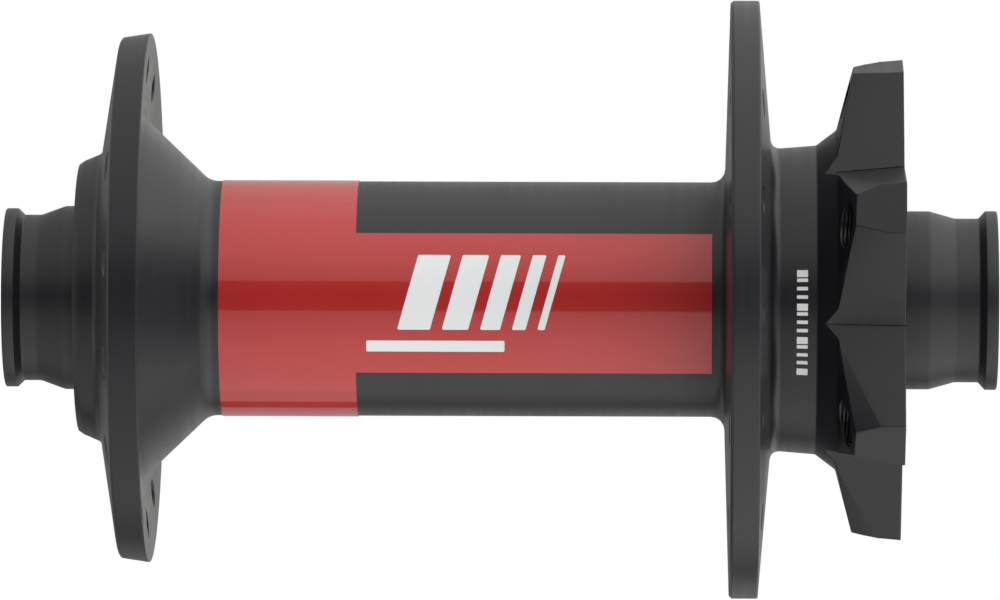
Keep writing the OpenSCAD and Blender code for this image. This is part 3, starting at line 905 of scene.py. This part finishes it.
def buildCap(side, race, sign):
    shape = cap[side]
    bore, foot, skirt = cap["bore"], cap["foot"], cap["skirt"]
    lip, corner = cap["lip"], cap["lipCorner"]
    socket = cap["stub"] + cap["clearance"]
    groove = race + cap["ringPlace"]
    grooveRadius = socket + cap["ringWidth"]
    socketEnd = race + cap["socketDepth"]
    lipStart = endFace - cap["lipWidth"]
    corners = [
        (foot, race + 0.02), (foot, race + 0.3), (skirt, race + 0.3, 0.1),
        (skirt, race + 0.75, 0.2), (shape["base"], race + 0.9, 0.3),
        (shape["base"], shape["taperLow"], 1.5), (shape["barrel"], shape["taperHigh"], 1.5),
        (shape["barrel"], lipStart - 0.75, 0.3), (lip, lipStart, 0.08), (lip, endFace - corner, 0.05),
        (lip - corner, endFace, 0.05), (bore + 0.4, endFace, 0.15), (bore, endFace - 0.4, 0.15),
        (bore, socketEnd, 0.1), (socket, socketEnd, 0.1), (socket, groove + 0.5, 0.08),
        (grooveRadius, groove + 0.5, 0.1), (grooveRadius, groove - 0.5, 0.1),
        (socket, groove - 0.5, 0.08), (socket, race + 0.02, 0.15)]
    corners = [(c[0], sign * c[1], *c[2:]) for c in corners]
    bm = turned(rounded(corners), steps=160)
    finishPiece(bm, side + "Cap", side + "_cap", capAnodised, [side + "_end_cap"])
    middle = cap["stub"] + 0.01 + cap["ringWidth"] / 2
    ring = turned(arc((middle, sign * groove), cap["ringWidth"] / 2, 0, 345, 23), steps=96)
    finishPiece(ring, side + "CapRing", side + "_cap", oRingRubber,
                [side + "_cap_o_ring"])


buildAxle()
buildCap("plain", -plainRace, -1)
buildCap("disc", discRace, 1)
print("axle and end caps built")


# cartridge bearings
bearing = {"pitch": 10.75, "ball": 1.39, "balls": 14, "groove": 1.42, "bore": 8.5,
           "innerLand": 9.75, "outerLand": 11.75, "sealOuter": 12.0, "sealLip": 9.65,
           "sealBack": 2.0, "sealDish": (11.45, 11.3, 10.35, 10.2),
           "cageInner": 10.2, "cageOuter": 11.3, "cageLow": -1.85, "cageHigh": 0.9, "pocket": 1.45}


def shifted(line, place):
    return [(p[0], p[1] + place, *p[2:]) for p in line]


def buildBearing(side, middle):
    half = bearingWidth / 2
    pitch, groove = bearing["pitch"], bearing["groove"]
    seal, land = bearing["sealOuter"], bearing["outerLand"]
    halfOpen = math.degrees(math.acos((land - pitch) / groove))
    prefix = side + "_bearing_"
    line = rounded([(seatRadius - 0.3, -half, 0.1), (seatRadius, 0.3 - half, 0.1),
                    (seatRadius, half - 0.3, 0.1), (seatRadius - 0.3, half, 0.1), (seal, half, 0.05),
                    (seal, 2.0), (land, 2.0)])
    line += arc((pitch, 0), groove, halfOpen, -halfOpen, 12)
    line += [(land, -2.0), (seal, -2.0), (seal, -half)]
    finishPiece(turned(shifted(line, middle), 128), side + "OuterRace", "shell",
                bearingSteel, [prefix + "outer_race"])

    bore, land = bearing["bore"], bearing["innerLand"]
    line = rounded([(land - 0.2, half, 0.05), (bore + 0.3, half, 0.1), (bore, half - 0.3, 0.1),
                    (bore, 0.3 - half, 0.1), (bore + 0.3, -half, 0.1), (land - 0.2, -half, 0.05),
                    (land - 0.2, -1.9), (land, -1.9)])
    line += arc((pitch, 0), groove, 180 + halfOpen, 180 - halfOpen, 12)
    line += [(land, 1.9), (land - 0.2, 1.9)]
    finishPiece(turned(shifted(line, middle), 128), side + "InnerRace", "axle",
                bearingSteel, [prefix + "inner_race"])

    lip, back, front, dished = bearing["sealLip"], bearing["sealBack"], half - 0.1, half - 0.22
    dish = bearing["sealDish"]
    seals = [(lip, back, 0.08), (seal, back), (seal, front, 0.1), (dish[0], front, 0.1),
             (dish[1], dished, 0.1), (dish[2], dished, 0.1), (dish[3], front, 0.1), (lip, front, 0.12)]
    outward = 1 if side == "disc" else -1
    for name, way in (("outer", outward), ("inner", -outward)):
        line = rounded([(p[0], way * p[1], *p[2:]) for p in seals])
        finishPiece(turned(shifted(line, middle), 128), side + name.capitalize() + "Seal",
                    "shell", sealRubber, [prefix + name + "_seal"])

    ball = bmesh.new()
    bmesh.ops.create_uvsphere(ball, u_segments=28, v_segments=14, radius=bearing["ball"] * mm)
    places = roundTheAxis(pitch, bearing["balls"], 0)
    places = [Matrix.Translation((0, middle * mm, 0)) @ place for place in places]
    finishPiece(repeated(ball, places), side + "Balls", side + "_cage", ballSteel,
                [prefix + "balls"])

    cage = turned(rounded([(bearing["cageInner"], bearing["cageLow"], 0.15),
                           (bearing["cageOuter"], bearing["cageLow"], 0.15),
                           (bearing["cageOuter"], bearing["cageHigh"], 0.1),
                           (bearing["cageInner"], bearing["cageHigh"], 0.1)]), 112)
    pocket = bmesh.new()
    bmesh.ops.create_cone(pocket, cap_ends=True, segments=32, radius1=bearing["pocket"] * mm,
                          radius2=bearing["pocket"] * mm, depth=4 * mm,
                          matrix=Matrix.Rotation(math.radians(90), 4, "Y"))
    carve(cage, [repeated(pocket, roundTheAxis(pitch, bearing["balls"], 0))])
    bmesh.ops.translate(cage, verts=cage.verts, vec=(0, middle * mm, 0))
    finishPiece(cage, side + "Cage", side + "_cage", cageNylon, [prefix + "cage"])


buildBearing("plain", plainRace + bearingWidth / 2)
buildBearing("disc", discRace - bearingWidth / 2)
print("bearings built")
